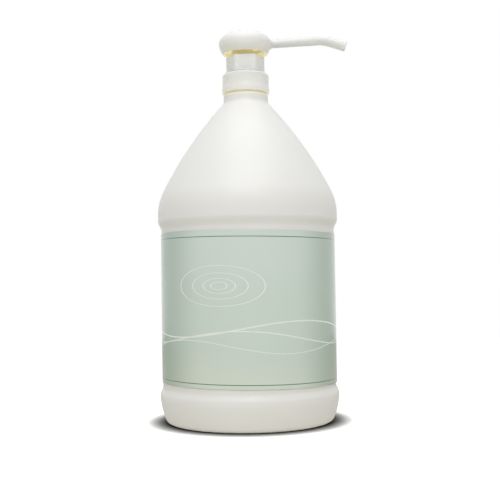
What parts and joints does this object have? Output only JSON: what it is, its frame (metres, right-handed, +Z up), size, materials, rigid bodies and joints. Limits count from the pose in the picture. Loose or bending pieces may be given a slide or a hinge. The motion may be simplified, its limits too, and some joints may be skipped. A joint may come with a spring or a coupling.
{
  "type": "pump bottle",
  "caption": "Round gallon bottle with a recessed panel, a wrap label, a screw closure and a lock-down pump with a dome head and a long bent spout.",
  "frame": {"origin": "on the bottle's axis, in the plane that the foot ring stands on", "axes": "+Z up along the bottle's axis, +X the way the spout points, front of the label towards -Y"},
  "size_m": [0.169, 0.1568, 0.3429],
  "materials": {
    "bottle_hdpe": "satin blow-moulded white polyethylene",
    "label_film": "glossy printed film",
    "pump_plastic": "smooth injection-moulded polypropylene",
    "inner_plastic": "plain moulded polypropylene",
    "tube_plastic": "extruded polyethylene",
    "piston_plastic": "soft polyethylene",
    "sleeve_plastic": "moulded polypropylene",
    "gasket_foam": "closed-cell liner",
    "wiper_rubber": "matt elastomer",
    "spring_steel": "drawn stainless wire",
    "ball_steel": "polished stainless ball",
    "ball_glass": "clear glass ball"
  },
  "bodies": {
    "bottle": {"bottle": "bottle_hdpe", "label": "label_film"},
    "pump": {"pump_housing": "inner_plastic", "lock_collar": "pump_plastic", "stem_wiper": "wiper_rubber", "cap_gasket": "gasket_foam", "dip_tube": "tube_plastic", "ball_cage": "inner_plastic", "return_spring": "spring_steel"},
    "closure": {"closure": "pump_plastic"},
    "inlet_ball": {"inlet_ball": "ball_steel"},
    "piston": {"piston": "piston_plastic"},
    "plunger": {"piston_rod": "inner_plastic", "stem": "pump_plastic", "outlet_cage": "inner_plastic", "lock_sleeve": "sleeve_plastic", "head": "pump_plastic"},
    "outlet_ball": {"outlet_ball": "ball_glass"}
  },
  "joints": [
    {"name": "pump_lift", "type": "slide", "parent": "bottle", "child": "pump", "axis": [0, 0, 1], "range_m": [0, 0.00529]},
    {"name": "closure_turn", "type": "hinge", "parent": "pump", "child": "closure", "pos_m": [0, 0, 0.3002], "axis": [0, 0, 1], "range_deg": [0, 450]},
    {"name": "plunger_stroke", "type": "slide", "parent": "pump", "child": "piston", "axis": [0, 0, 1], "range_m": [0, 0.032], "deforming": ["return_spring"]},
    {"name": "head_turn", "type": "hinge", "parent": "piston", "child": "plunger", "pos_m": [0, 0, 0.3129], "axis": [0, 0, 1], "continuous": true},
    {"name": "inlet_ball_lift", "type": "slide", "parent": "pump", "child": "inlet_ball", "axis": [0, 0, 1], "range_m": [0, 0.0025]},
    {"name": "outlet_ball_lift", "type": "slide", "parent": "plunger", "child": "outlet_ball", "axis": [0, 0, 1], "range_m": [0, 0.002]}
  ],
  "couplings": [
    {"joint": "closure_turn", "follows": "pump_lift", "rad_per_m": 1484.2}
  ]
}
